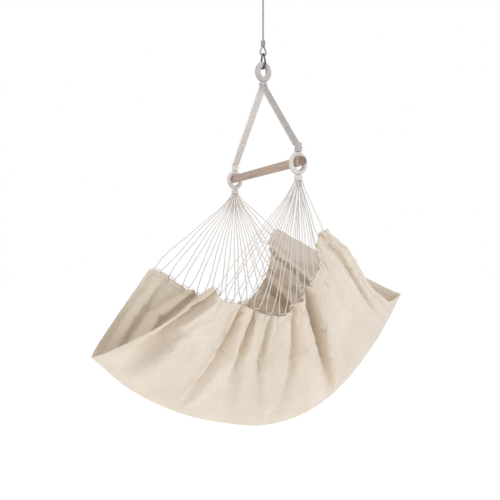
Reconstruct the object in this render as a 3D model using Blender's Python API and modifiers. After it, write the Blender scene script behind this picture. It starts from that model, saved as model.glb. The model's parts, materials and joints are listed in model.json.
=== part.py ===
"""Hanging hammock chair: a canvas seat on two fans of cords, a wooden spreader bar and a steel hanger.

Metres, +Z up.  The origin is the centre of the ceiling plate's top face, and everything hangs below it.
The bar runs along X and the sitter faces -Y, so "left" is -X and "right" is +X.
"""
import math

import bmesh
import bpy
from mathutils import Matrix, Vector

# ---------------------------------------------------------------- driving dimensions
GAP = 0.0003                # air left between two pieces that touch
CLOTH_GAP = 0.0006          # air left between two strips of the canvas
RING_SEAT_GAP = 0.0009      # air between the snap hook and the rope ring, so that the ring can turn

PLATE_DIAMETER = 0.070      # ceiling plate
PLATE_THICKNESS = 0.006
PLATE_CHAMFER = 0.001
SCREW_SPACING = 0.048       # between the two wood screws, along Y
SCREW_HEAD = 0.010
SCREW_SHANK = 0.0045
SCREW_LENGTH = 0.042
SCREW_CLEARANCE = 0.0003
SCREW_TIP = 0.003           # blunt end and taper of the screw's point
SCREW_TAPER = 0.010

EYE_ROD = 0.008             # bent rod welded under the plate
EYE_LEG_SPACING = 0.030
EYE_DROP = 0.044            # ceiling to the middle of the bottom of the bend

LINK_WIRE = 0.008           # quick link: oval of wire closed by a hexagonal sleeve nut
LINK_WIDTH = 0.024
LINK_HEIGHT = 0.062
LINK_MOUTH = 0.008
LINK_SHOULDER = 0.004       # straight wire between the nut's end and the bend
NUT_ACROSS_FLATS = 0.013
NUT_LENGTH = 0.017
NUT_CLEARANCE = 0.0002
NUT_EDGE = 0.0006

CABLE_DIAMETER = 0.007      # steel cable with a pressed loop at each end
CABLE_LENGTH = 0.205        # free cable between the two ferrules
LOOP_WIDTH = 0.026
LOOP_THROAT = 0.55          # half the gap between a loop's legs at its throat, in cable diameters
LOOP_TAPER = 1.5            # how late its legs close in: the power of their curve
LOOP_SHARES = (0.35, 0.7, 1.0)
UPPER_LOOP_HEIGHT = 0.048
LOWER_LOOP_HEIGHT = 0.041
FERRULE_WIDTH = 0.019
FERRULE_DEPTH = 0.012
FERRULE_LENGTH = 0.023
FERRULE_EDGE = 0.0012

HOOK_WIRE = 0.008           # snap hook, in the XZ plane
HOOK_HEIGHT = 0.062         # between the wire's middle at the top and at the bottom
HOOK_TOP_RADIUS = 0.0095
HOOK_BOTTOM_RADIUS = 0.0205
GATE_DIAMETER = 0.007
GATE_TONGUE = 0.0030        # thickness of the gate's end between the hook's cheeks
GATE_SIDE_CLEARANCE = 0.0002
GATE_END_CLEARANCE = 0.0006
GATE_HEEL = 0.0040          # how far the gate and the hook's cheeks run past the pin
GATE_SHOULDER = 0.0062      # where the gate grows from its flat tongue to full round
GATE_MIDDLE = 0.6           # place of the gate's middle point between pin and free end
SLOT_BELOW = 0.0060         # the slot for the gate's tongue, below and above the pin
SLOT_ABOVE = 0.0120
NOSE_SHARE = 0.22           # the hook's mouth, as a share of its straight side, above the gate's end
PIN_DIAMETER = 0.0024
PIN_PROUD = 0.0002
PIN_CLEARANCE = 0.0001
PIVOT_RISE = 0.0005         # the pin's middle above the lower arc's end

RING_BAND = 0.024           # rope ring bound with cord, in the YZ plane
RING_WIDTH = 0.074
RING_HEIGHT = 0.087
SEIZING_HEIGHT = 0.012      # binding under the ring
BINDING_EDGE = 0.0025       # rounding of every binding's rims

ROPE_DIAMETER = 0.008       # four ropes down each side
ROPE_COUNT = 4
ROPE_PITCH = ROPE_DIAMETER + GAP
ROPE_TOP_OFFSET = ROPE_DIAMETER + 0.0005    # each band's distance from the middle, under the binding
SEIZING_WIDTH = ROPE_COUNT * ROPE_PITCH + 0.0028
SEIZING_DEPTH = 2 * ROPE_TOP_OFFSET + ROPE_DIAMETER + 0.003
ROPE_DROP = 0.3046          # binding's lower face to the knots' middle
ROPE_STRAIGHT = 0.004       # how far a rope runs straight down before it leans out
ROPE_LEAN_START = 0.012
ROPE_LEAN_SHIFT = 0.003
ROPE_SHARES = (0.04, 0.35, 0.7, 1.0)        # places of a rope's points down its straight run
KNOT_DIAMETER = ROPE_COUNT * ROPE_PITCH + 0.0008

EYE_SPACING = 0.600         # between the two rope eyes, along the bar
ROPE_EYE_BAND = 0.020
ROPE_EYE_SIDE = 0.0015      # clearance beside, above and below the bar
ROPE_EYE_TOP = 0.0010
ROPE_EYE_BOTTOM = 0.0125
NECK_HEIGHT = 0.018         # binding under each eye, where the fan starts

BAR_DIAMETER = 0.035        # round wooden spreader bar
BAR_OVERHANG = 0.033        # past the middle of each eye
BAR_EDGE = 0.0025

CORD_DIAMETER = 0.0032      # fan cords
CORD_COUNT = 12             # on each side; every cord makes two legs
CORD_PITCH = 0.85 * CORD_DIAMETER
CORD_DROP = 0.006           # how far the outermost cords run straight down before they fan out
CORD_DROP_STEP = 0.0018
CORD_KNEE = 0.7             # share of that straight run before it starts to bend
CORD_TURN_OUT = 0.004       # length of cord that takes up the new direction
CORD_ROWS = (0.7 * CORD_DIAMETER, 1.9 * CORD_DIAMETER)      # legs' distances from the eye's plane
NECK_WIDTH = CORD_COUNT * CORD_PITCH + 0.0044
NECK_DEPTH = 2 * CORD_ROWS[1] + 0.0118
CORD_LEG_SHARE = 0.44       # the gap between a cord's two feet, as a share of the gap from cord to cord
CORD_STANDOFF = 0.0085      # cord's middle to the canvas rim
CORD_BEND = 0.0050          # radius of a cord's bends at its feet
CORD_RUN_SHARE = 0.94       # the share of the way between its feet that the two bends may take up
CORNER_SHARES = (0.0, 0.25, 0.5, 0.75, 1.0)     # places of a bend's points round its arc
NEAR_RIM = 0.95             # the sheet's own t that sets which way the feet stand out

CANVAS_THICKNESS = 0.004
HEM_THICKNESS = 0.007
HEM_WIDTH = 0.030
STRING_HEM_WIDTH = 0.024
HALF_WIDTH = 0.62           # from the sheet's middle line to a string edge, about the same all along

# The sheet's middle line from the front hem to the back hem: (y, z) from the bar's axis.
KEEL = [(-0.706, -0.728), (-0.560, -0.862), (-0.380, -0.965), (-0.190, -1.028), (0.000, -1.057),
        (0.190, -1.025), (0.370, -0.925), (0.530, -0.780), (0.650, -0.635), (0.715, -0.535)]
# The two string edges, front corner to back corner: (inset from the rope eye's plane, y, z).
LEFT_EDGE = [(0.000, -0.408, -0.409), (0.020, -0.347, -0.431), (0.030, -0.295, -0.471),
             (0.050, -0.223, -0.516), (0.055, -0.150, -0.553), (0.080, -0.050, -0.585),
             (0.085, 0.030, -0.555), (0.100, 0.100, -0.470), (0.100, 0.135, -0.367),
             (0.095, 0.130, -0.290), (0.080, 0.182, -0.225)]
RIGHT_EDGE = [(0.000, -0.340, -0.460), (0.030, -0.291, -0.510), (0.050, -0.212, -0.530),
              (0.080, -0.090, -0.577), (0.095, 0.002, -0.580), (0.100, 0.085, -0.490),
              (0.100, 0.150, -0.405), (0.100, 0.140, -0.300), (0.080, 0.175, -0.240)]
BELLY_AT_HEMS = 0.060       # how far the sheet runs level from its middle line, at the hems
BELLY_IN_MIDDLE = 0.170
SHOULDER = 0.020            # how far the sides swell out
LEFT_SAG = 0.010            # how far the sides hang below a straight line
RIGHT_SAG = 0.030
SHOULDER_PLACE = 0.36       # where the sides swell, as a share of the way in from the string edge

# ---------------------------------------------------------------- levels, from the ceiling down
EYE_BOTTOM_Z = -EYE_DROP
LINK_TOP_Z = EYE_BOTTOM_Z + EYE_ROD / 2 + LINK_WIRE / 2 + GAP
LINK_BOTTOM_Z = LINK_TOP_Z - LINK_HEIGHT
UPPER_LOOP_Z = LINK_BOTTOM_Z + LINK_WIRE / 2 + CABLE_DIAMETER / 2 + GAP
UPPER_FERRULE_Z = UPPER_LOOP_Z - UPPER_LOOP_HEIGHT - GAP
CABLE_TOP_Z = UPPER_FERRULE_Z - FERRULE_LENGTH - GAP
CABLE_BOTTOM_Z = CABLE_TOP_Z - CABLE_LENGTH
LOWER_FERRULE_Z = CABLE_BOTTOM_Z - GAP
LOWER_LOOP_TOP_Z = LOWER_FERRULE_Z - FERRULE_LENGTH - GAP
LOWER_LOOP_Z = LOWER_LOOP_TOP_Z - LOWER_LOOP_HEIGHT
HOOK_TOP_Z = LOWER_LOOP_Z + CABLE_DIAMETER / 2 + HOOK_WIRE / 2 + GAP
HOOK_BOTTOM_Z = HOOK_TOP_Z - HOOK_HEIGHT
RING_TOP_Z = HOOK_BOTTOM_Z + HOOK_WIRE / 2 + RING_SEAT_GAP + RING_BAND
RING_Z = RING_TOP_Z - RING_HEIGHT / 2
SEIZING_TOP_Z = RING_TOP_Z - RING_HEIGHT - GAP
SEIZING_BOTTOM_Z = SEIZING_TOP_Z - SEIZING_HEIGHT
KNOT_Z = SEIZING_BOTTOM_Z - ROPE_DROP
EYE_X = EYE_SPACING / 2
ROPE_EYE_UP = BAR_DIAMETER / 2 + ROPE_EYE_BAND / 2 + ROPE_EYE_TOP
ROPE_EYE_DOWN = BAR_DIAMETER / 2 + ROPE_EYE_BAND / 2 + ROPE_EYE_BOTTOM
BAR_Z = KNOT_Z - KNOT_DIAMETER / 2 - GAP - ROPE_EYE_BAND / 2 - ROPE_EYE_UP
NECK_TOP_Z = BAR_Z - ROPE_EYE_DOWN - ROPE_EYE_BAND / 2 - GAP
NECK_BOTTOM_Z = NECK_TOP_Z - NECK_HEIGHT


# ---------------------------------------------------------------- scene, materials and small helpers
for old in list(bpy.data.objects):
    bpy.data.objects.remove(old, do_unlink=True)

parts = bpy.data.collections.new("hammock_chair")
cutters = bpy.data.collections.new("cutters")
bpy.context.scene.collection.children.link(parts)
bpy.context.scene.collection.children.link(cutters)


def material(name, colour, roughness, metallic=0.0):
    made = bpy.data.materials.new(name)
    made.use_nodes = True
    shader = made.node_tree.nodes["Principled BSDF"]
    shader.inputs["Base Color"].default_value = (*colour, 1.0)
    shader.inputs["Roughness"].default_value = roughness
    shader.inputs["Metallic"].default_value = metallic
    made.diffuse_color = (*colour, 1.0)
    return made


STEEL = material("galvanised_steel", (0.42, 0.42, 0.43), 0.40, 1.0)
DARK_STEEL = material("dark_steel", (0.16, 0.16, 0.16), 0.45, 1.0)
ALUMINIUM = material("pressed_aluminium", (0.55, 0.55, 0.56), 0.45, 1.0)
ROPE = material("cotton_rope", (0.68, 0.62, 0.55), 0.90)
CORD = material("cotton_cord", (0.80, 0.74, 0.68), 0.90)
WOOD = material("beech_wood", (0.52, 0.38, 0.28), 0.60)
CANVAS = material("canvas", (0.76, 0.70, 0.60), 0.95)
HEM = material("canvas_hem", (0.72, 0.66, 0.56), 0.95)


def keep(obj, name, finish):
    """Name an object as a part, give it its material and put it in the parts' collection."""
    obj.name = name
    obj.data.name = name
    obj.data.materials.clear()
    obj.data.materials.append(finish)
    for home in list(obj.users_collection):
        home.objects.unlink(obj)
    parts.objects.link(obj)
    return obj


def cutter(obj):
    obj.hide_render = True
    obj.display_type = "WIRE"
    for home in list(obj.users_collection):
        home.objects.unlink(obj)
    cutters.objects.link(obj)
    return obj


def cut(obj, tool, operation="DIFFERENCE"):
    change = obj.modifiers.new(operation.lower(), "BOOLEAN")
    change.operation = operation
    change.solver = "EXACT"
    change.object = tool
    return change


def smooth(obj, angle=40.0):
    obj.data.shade_smooth()
    obj.data.set_sharp_from_angle(angle=math.radians(angle))
    return obj


def cylinder(radius, depth, centre, sides=48, turn=(0.0, 0.0, 0.0), squash=1.0):
    """A cylinder; squash narrows it along X, and its size is in its mesh."""
    bpy.ops.mesh.primitive_cylinder_add(vertices=sides, radius=radius, depth=depth,
                                        location=centre, rotation=turn)
    obj = bpy.context.object
    obj.data.transform(Matrix.Diagonal((squash, 1.0, 1.0, 1.0)))
    return obj


def box(size, centre, turn=(0.0, 0.0, 0.0)):
    bpy.ops.mesh.primitive_cube_add(size=1.0, location=centre, rotation=turn)
    obj = bpy.context.object
    obj.data.transform(Matrix.Diagonal((*size, 1.0)))
    return obj


def bevel(obj, width, segments=2):
    edge = obj.modifiers.new("edge", "BEVEL")
    edge.width = width
    edge.segments = segments
    edge.limit_method = "ANGLE"
    edge.angle_limit = math.radians(40.0)
    return obj


def tube(points, diameter, resolution=3, closed=False):
    """A round wire or rope along points, with filled ends."""
    curve = bpy.data.curves.new("tube", "CURVE")
    curve.dimensions = "3D"
    curve.bevel_depth = diameter / 2
    curve.bevel_resolution = resolution
    curve.use_fill_caps = not closed
    line = curve.splines.new("POLY")
    line.points.add(len(points) - 1)
    for knot, place in zip(line.points, points):
        knot.co = (*place, 1.0)
    line.use_cyclic_u = closed
    obj = bpy.data.objects.new("tube", curve)
    parts.objects.link(obj)
    return obj


def curve_to_mesh(obj):
    """The same tube as a welded mesh, so that Booleans can work on it."""
    bpy.context.view_layer.update()
    solid = obj.evaluated_get(bpy.context.evaluated_depsgraph_get())
    mesh = bpy.data.meshes.new_from_object(solid)
    work = bmesh.new()
    work.from_mesh(mesh)
    bmesh.ops.remove_doubles(work, verts=work.verts, dist=1e-6)
    bmesh.ops.recalc_face_normals(work, faces=work.faces)
    work.to_mesh(mesh)
    work.free()
    made = bpy.data.objects.new(obj.name, mesh)
    made.matrix_world = obj.matrix_world
    parts.objects.link(made)
    bpy.data.objects.remove(obj, do_unlink=True)
    return made


def catmull(points, u):
    """The point at u, from 0 to 1, on the smooth curve through the points."""
    last = len(points) - 1
    along = min(max(u, 0.0), 1.0) * last
    i = min(int(along), last - 1)
    f = along - i
    p1, p2 = points[i], points[i + 1]
    p0 = points[i - 1] if i > 0 else 2 * p1 - p2
    p3 = points[i + 2] if i + 2 <= last else 2 * p2 - p1
    return 0.5 * (2 * p1 + (p2 - p0) * f + (2 * p0 - 5 * p1 + 4 * p2 - p3) * f ** 2
                  + (3 * p1 - p0 - 3 * p2 + p3) * f ** 3)


def even_curve(points, steps=200):
    """The smooth curve through the points, as a function of the share of its length from 0 to 1."""
    trail = [catmull(points, i / steps) for i in range(steps + 1)]
    run = [0.0]
    for a, b in zip(trail, trail[1:]):
        run.append(run[-1] + (b - a).length)

    def at(share):
        goal = min(max(share, 0.0), 1.0) * run[-1]
        i = 0
        while i < steps - 1 and run[i + 1] < goal:
            i += 1
        return trail[i].lerp(trail[i + 1], (goal - run[i]) / (run[i + 1] - run[i]))

    return at


def bezier(p0, p1, p2, p3, u):
    v = 1.0 - u
    return p0 * v ** 3 + p1 * 3 * v ** 2 * u + p2 * 3 * v * u ** 2 + p3 * u ** 3


# ---------------------------------------------------------------- ceiling plate, its screws and its eye
def make_ceiling_plate():
    plate = cylinder(PLATE_DIAMETER / 2, PLATE_THICKNESS, (0.0, 0.0, -PLATE_THICKNESS / 2), 48)
    bevel(plate, PLATE_CHAMFER, 1)
    keep(plate, "ceiling_plate", STEEL)
    hole = SCREW_SHANK + 2 * SCREW_CLEARANCE
    sink = SCREW_HEAD + 2 * SCREW_CLEARANCE
    for side in (-1, 1):
        y = side * SCREW_SPACING / 2
        cut(plate, cutter(cylinder(hole / 2, 4 * PLATE_THICKNESS, (0.0, y, 0.0), 24)))
        bpy.ops.mesh.primitive_cone_add(vertices=24, radius1=sink, radius2=0.0, depth=sink,
                                        location=(0.0, y, -PLATE_THICKNESS))
        cut(plate, cutter(bpy.context.object))
    smooth(plate)


def make_plate_screw(number, side):
    """A countersunk wood screw: its head is flush with the plate's lower face."""
    head_z = -PLATE_THICKNESS
    neck_z = head_z + (SCREW_HEAD - SCREW_SHANK) / 2
    top_z = head_z + SCREW_LENGTH
    outline = [(0.0, top_z), (SCREW_SHANK / 4, top_z - SCREW_TIP), (SCREW_SHANK / 2, top_z - SCREW_TAPER),
               (SCREW_SHANK / 2, neck_z), (SCREW_HEAD / 2, head_z + SCREW_CLEARANCE),
               (SCREW_HEAD / 2, head_z), (0.0, head_z)]
    mesh = bpy.data.meshes.new("screw")
    mesh.from_pydata([(r, 0.0, z) for r, z in outline],
                     [(i, i + 1) for i in range(len(outline) - 1)], [])
    screw = bpy.data.objects.new("screw", mesh)
    screw.location = (0.0, side * SCREW_SPACING / 2, 0.0)
    turn = screw.modifiers.new("turn", "SCREW")
    turn.steps = 24
    turn.render_steps = 24
    turn.use_merge_vertices = True
    turn.merge_threshold = 0.00001
    parts.objects.link(screw)
    keep(screw, f"plate_screw_{number}", STEEL)


def make_ceiling_eye():
    half = EYE_LEG_SPACING / 2
    leg_top = Vector((-half, 0.0, -PLATE_THICKNESS - GAP))
    bend_z = EYE_BOTTOM_Z + half
    path = [leg_top, leg_top.lerp(Vector((-half, 0.0, bend_z)), 0.5)]
    for i in range(17):
        turn = math.pi * i / 16
        path.append(Vector((-half * math.cos(turn), 0.0, bend_z - half * math.sin(turn))))
    path += [Vector((-p.x, 0.0, p.z)) for p in reversed(path[:2])]
    keep(tube(path, EYE_ROD, 4), "ceiling_eye", STEEL)


def make_quick_link():
    """An oval wire in the YZ plane, open on its +Y side, and the sleeve nut that closes it."""
    half = LINK_WIDTH / 2
    top_z = LINK_TOP_Z - half
    bottom_z = LINK_BOTTOM_Z + half
    middle = (top_z + bottom_z) / 2
    path = [Vector((0.0, half, middle + LINK_MOUTH / 2)), Vector((0.0, half, top_z - LINK_SHOULDER))]
    for i in range(13):
        turn = math.pi * i / 12
        path.append(Vector((0.0, half * math.cos(turn), top_z + half * math.sin(turn))))
    path += [Vector((0.0, p.y, 2 * middle - p.z)) for p in reversed(path)]
    keep(tube(path, LINK_WIRE, 4), "quick_link", STEEL)

    nut = cylinder(NUT_ACROSS_FLATS / math.sqrt(3), NUT_LENGTH, (0.0, half, middle), 6)
    bevel(nut, NUT_EDGE, 1)
    keep(nut, "quick_link_nut", STEEL)
    cut(nut, cutter(cylinder(LINK_WIRE / 2 + NUT_CLEARANCE, 2 * NUT_LENGTH, (0.0, half, middle), 24)))


# ---------------------------------------------------------------- cable with a pressed loop at each end
def loop_path(apex_z, throat_z, across):
    """A closed teardrop from a round apex to a narrow throat; across is the loop's sideways axis."""
    half = LOOP_WIDTH / 2
    way = math.copysign(1.0, apex_z - throat_z)
    height = abs(apex_z - throat_z)
    centre = apex_z - way * half
    pinch = CABLE_DIAMETER * LOOP_THROAT
    path = []
    for i in range(17):
        turn = math.pi * i / 16
        path.append((half * math.cos(turn), centre + way * half * math.sin(turn)))
    tail = [(-half + (half - pinch) * f ** LOOP_TAPER, centre - way * (height - half - pinch) * f)
            for f in LOOP_SHARES]
    foot = (0.0, throat_z + way * CABLE_DIAMETER / 2)
    path += tail + [foot] + [(-a, z) for a, z in reversed(tail)]
    return [across * a + Vector((0.0, 0.0, z)) for a, z in path]


def make_ferrule(name, top_z, wide):
    """A pressed oval sleeve; wide is True when its long side lies along X."""
    ferrule = cylinder(FERRULE_WIDTH / 2, FERRULE_LENGTH, (0.0, 0.0, top_z - FERRULE_LENGTH / 2), 32,
                       squash=FERRULE_DEPTH / FERRULE_WIDTH)
    if wide:
        ferrule.data.transform(Matrix.Rotation(math.pi / 2, 4, "Z"))
    bevel(ferrule, FERRULE_EDGE)
    keep(smooth(ferrule), name, ALUMINIUM)


def make_cable():
    length = CABLE_TOP_Z - CABLE_BOTTOM_Z
    path = [Vector((0.0, 0.0, CABLE_TOP_Z - length * i / 8)) for i in range(9)]
    keep(tube(path, CABLE_DIAMETER, 2), "suspension_cable", STEEL)
    upper = loop_path(UPPER_LOOP_Z, UPPER_FERRULE_Z + GAP, Vector((1.0, 0.0, 0.0)))
    keep(tube(upper, CABLE_DIAMETER, 3, closed=True), "upper_loop", STEEL)
    lower = loop_path(LOWER_LOOP_Z, LOWER_LOOP_TOP_Z, Vector((0.0, 1.0, 0.0)))
    keep(tube(lower, CABLE_DIAMETER, 3, closed=True), "lower_loop", STEEL)
    make_ferrule("upper_ferrule", UPPER_FERRULE_Z, True)
    make_ferrule("lower_ferrule", LOWER_FERRULE_Z, False)


# ---------------------------------------------------------------- snap hook, its gate and the gate's pin
def hook_frame():
    """The centres of the hook's two arcs and the tilt of its straight sides from upright."""
    top = HOOK_TOP_Z - HOOK_TOP_RADIUS
    bottom = HOOK_BOTTOM_Z + HOOK_BOTTOM_RADIUS
    return top, bottom, math.asin((HOOK_BOTTOM_RADIUS - HOOK_TOP_RADIUS) / (top - bottom))


def make_snap_hook():
    top, bottom, tilt = hook_frame()
    low = Vector((HOOK_BOTTOM_RADIUS * math.cos(tilt), 0.0, bottom + HOOK_BOTTOM_RADIUS * math.sin(tilt)))
    high = Vector((HOOK_TOP_RADIUS * math.cos(tilt), 0.0, top + HOOK_TOP_RADIUS * math.sin(tilt)))
    along = (high - low).normalized()
    pivot = low + along * PIVOT_RISE
    nose = high.lerp(low, NOSE_SHARE)

    path = [pivot + along * GATE_HEEL, pivot]
    for i in range(17):
        turn = tilt - (math.pi + 2 * tilt) * i / 16
        path.append(Vector((HOOK_BOTTOM_RADIUS * math.cos(turn), 0.0,
                            bottom + HOOK_BOTTOM_RADIUS * math.sin(turn))))
    for i in range(11):
        turn = math.pi - tilt - (math.pi - 2 * tilt) * i / 10
        path.append(Vector((HOOK_TOP_RADIUS * math.cos(turn), 0.0,
                            top + HOOK_TOP_RADIUS * math.sin(turn))))
    path += [nose]
    body = curve_to_mesh(tube(path, HOOK_WIRE, 4))
    lean = (0.0, math.atan2(along.x, along.z), 0.0)
    slot = box((2 * HOOK_WIRE, GATE_TONGUE + 2 * GATE_SIDE_CLEARANCE, SLOT_ABOVE + SLOT_BELOW),
               pivot + along * (SLOT_ABOVE - SLOT_BELOW) / 2, lean)
    hole = cylinder(PIN_DIAMETER / 2 + PIN_CLEARANCE, 3 * HOOK_WIRE, pivot, 16,
                    (math.pi / 2, 0.0, 0.0))
    keep(body, "snap_hook_body", DARK_STEEL)
    cutter(slot)
    cutter(hole)
    cut(body, slot)
    cut(body, hole)
    smooth(body)

    free_end = nose - along * GATE_END_CLEARANCE
    gate = curve_to_mesh(tube([pivot - along * GATE_HEEL, pivot + along * GATE_SHOULDER,
                               pivot.lerp(free_end, GATE_MIDDLE), free_end], GATE_DIAMETER, 4))
    keep(gate, "snap_hook_gate", DARK_STEEL)
    for side in (-1, 1):
        flank = box((2 * GATE_DIAMETER, GATE_DIAMETER, 2 * GATE_SHOULDER),
                    pivot + Vector((0.0, side * (GATE_TONGUE + GATE_DIAMETER) / 2, 0.0)), lean)
        cut(gate, cutter(flank))
    cut(gate, hole)
    smooth(gate)
    pin = cylinder(PIN_DIAMETER / 2, HOOK_WIRE + 2 * PIN_PROUD, pivot, 16, (math.pi / 2, 0.0, 0.0))
    keep(smooth(pin), "snap_hook_pin", STEEL)


# ---------------------------------------------------------------- rope ring, ropes and knots
def oval(centre, half_y, half_z, count):
    """A closed oval in the YZ plane."""
    turns = [2 * math.pi * i / count for i in range(count)]
    return [centre + Vector((0.0, half_y * math.cos(a), half_z * math.sin(a))) for a in turns]


def oval_block(name, width, depth, height, centre, finish):
    """A bound block with an oval section, its long side along Y."""
    block = cylinder(width / 2, height, centre, 32, squash=depth / width)
    bevel(block, BINDING_EDGE)
    keep(smooth(block), name, finish)


def make_ring():
    half_y = (RING_WIDTH - RING_BAND) / 2
    half_z = (RING_HEIGHT - RING_BAND) / 2
    ring = oval(Vector((0.0, 0.0, RING_Z)), half_y, half_z, 30)
    keep(tube(ring, RING_BAND, 4, closed=True), "top_ring", ROPE)
    centre = (0.0, 0.0, (SEIZING_TOP_Z + SEIZING_BOTTOM_Z) / 2)
    oval_block("top_seizing", SEIZING_WIDTH, SEIZING_DEPTH, SEIZING_HEIGHT, centre, ROPE)


def make_rope(side, number):
    """One of the ropes from the binding down to a knot; its end clears the round knot."""
    y = (number - (ROPE_COUNT - 1) / 2) * ROPE_PITCH
    top = Vector((side * ROPE_TOP_OFFSET, y, SEIZING_BOTTOM_Z - GAP))
    straight = top - Vector((0.0, 0.0, ROPE_STRAIGHT))
    turn_in = top + Vector((side * ROPE_LEAN_SHIFT, 0.0, -ROPE_LEAN_START))
    knot = Vector((side * EYE_X, y, KNOT_Z))
    way = (knot - turn_in).normalized()
    reach = max(abs(y) - ROPE_DIAMETER / 2, 0.0)
    end = knot - way * (math.sqrt((KNOT_DIAMETER / 2) ** 2 - reach ** 2) + GAP)
    path = [top, straight, turn_in] + [turn_in.lerp(end, f) for f in ROPE_SHARES]
    name = "left" if side < 0 else "right"
    keep(tube(path, ROPE_DIAMETER, 2), f"{name}_rope_{number + 1}", ROPE)


def make_knot(side):
    bpy.ops.mesh.primitive_uv_sphere_add(segments=20, ring_count=12, radius=KNOT_DIAMETER / 2,
                                         location=(side * EYE_X, 0.0, KNOT_Z),
                                         rotation=(0.0, math.pi / 2, 0.0))
    name = "left" if side < 0 else "right"
    keep(smooth(bpy.context.object, 60.0), f"{name}_knot", ROPE)


# ---------------------------------------------------------------- rope eyes around the bar, and the bar
def make_rope_eye(side):
    half_y = BAR_DIAMETER / 2 + ROPE_EYE_BAND / 2 + ROPE_EYE_SIDE
    half_z = (ROPE_EYE_UP + ROPE_EYE_DOWN) / 2
    centre = Vector((side * EYE_X, 0.0, BAR_Z + (ROPE_EYE_UP - ROPE_EYE_DOWN) / 2))
    name = "left" if side < 0 else "right"
    eye = tube(oval(centre, half_y, half_z, 28), ROPE_EYE_BAND, 3, closed=True)
    keep(eye, f"{name}_eye", ROPE)
    centre = (side * EYE_X, 0.0, (NECK_TOP_Z + NECK_BOTTOM_Z) / 2)
    oval_block(f"{name}_neck", NECK_WIDTH, NECK_DEPTH, NECK_HEIGHT, centre, ROPE)


def make_spreader_bar():
    length = EYE_SPACING + 2 * BAR_OVERHANG
    bar = cylinder(BAR_DIAMETER / 2, length, (0.0, 0.0, BAR_Z), 40, (0.0, math.pi / 2, 0.0))
    bevel(bar, BAR_EDGE)
    keep(smooth(bar), "spreader_bar", WOOD)


# ---------------------------------------------------------------- the canvas sheet
def placed(y, z, x=0.0):
    return Vector((x, y, BAR_Z + z))


keel = even_curve([placed(y, z) for y, z in KEEL])
string_edge = {
    -1: even_curve([placed(y, z, -(EYE_X - inset)) for inset, y, z in LEFT_EDGE]),
    1: even_curve([placed(y, z, EYE_X - inset) for inset, y, z in RIGHT_EDGE]),
}
KEEL_LENGTH = sum((keel((i + 1) / 100) - keel(i / 100)).length for i in range(100))


def sheet_point(s, t):
    """The sheet at s, from 0 at the front hem to 1 at the back, and t, from -1 at left to 1 at right."""
    side = -1 if t < 0 else 1
    middle, edge = keel(s), string_edge[side](s)
    belly = BELLY_AT_HEMS + (BELLY_IN_MIDDLE - BELLY_AT_HEMS) * math.sin(math.pi * s)
    sag = LEFT_SAG if side < 0 else RIGHT_SAG
    level = middle + Vector((side * belly, 0.0, 0.0))
    swell = edge.lerp(middle, SHOULDER_PLACE) + Vector((side * SHOULDER, 0.0, -sag))
    return bezier(middle, level, swell, edge, abs(t))


def stations(first, last, count):
    return [first + (last - first) * i / (count - 1) for i in range(count)]


def make_cloth(name, s_places, t_places, thickness, finish):
    """A strip of the sheet as a closed shell: a grid laid on the sheet, then thickened both ways."""
    work = bmesh.new()
    columns, rows = len(s_places) - 1, len(t_places) - 1
    bmesh.ops.create_grid(work, x_segments=columns, y_segments=rows, size=0.5)
    for corner in work.verts:
        s = s_places[round((corner.co.x + 0.5) * columns)]
        t = t_places[round((corner.co.y + 0.5) * rows)]
        corner.co = sheet_point(s, t)
    mesh = bpy.data.meshes.new(name)
    work.to_mesh(mesh)
    work.free()
    strip = bpy.data.objects.new(name, mesh)
    shell = strip.modifiers.new("thickness", "SOLIDIFY")
    shell.thickness = thickness
    shell.offset = 0.0
    shell.use_even_offset = True
    parts.objects.link(strip)
    keep(smooth(strip, 60.0), name, finish)


def make_canvas():
    """The sheet in five strips that share their stations, so their edges run side by side."""
    hem = HEM_WIDTH / KEEL_LENGTH
    gap = CLOTH_GAP / KEEL_LENGTH
    band = 1.0 - STRING_HEM_WIDTH / HALF_WIDTH
    inner = band - CLOTH_GAP / HALF_WIDTH
    along = stations(hem + gap, 1.0 - hem - gap, 33)
    across = stations(-inner, inner, 15)
    whole = [0.0, hem] + along + [1.0 - hem, 1.0]
    make_cloth("canvas", along, across, CANVAS_THICKNESS, CANVAS)
    make_cloth("front_hem", [0.0, hem], across, HEM_THICKNESS, HEM)
    make_cloth("back_hem", [1.0 - hem, 1.0], across, HEM_THICKNESS, HEM)
    make_cloth("left_string_hem", whole, [-1.0, -band], HEM_THICKNESS, HEM)
    make_cloth("right_string_hem", whole, [band, 1.0], HEM_THICKNESS, HEM)


# ---------------------------------------------------------------- the two fans of cords
def corner(foot, way, along, reach):
    """Points of a round bend at foot, from the way in to the way along; it starts reach before foot."""
    turn = way.angle(along)
    centre = foot + (along - way).normalized() * reach / math.sin(turn / 2)
    start, end = foot - way * reach - centre, foot + along * reach - centre
    return [centre + start.slerp(end, u) * start.length for u in CORNER_SHARES]


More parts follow.
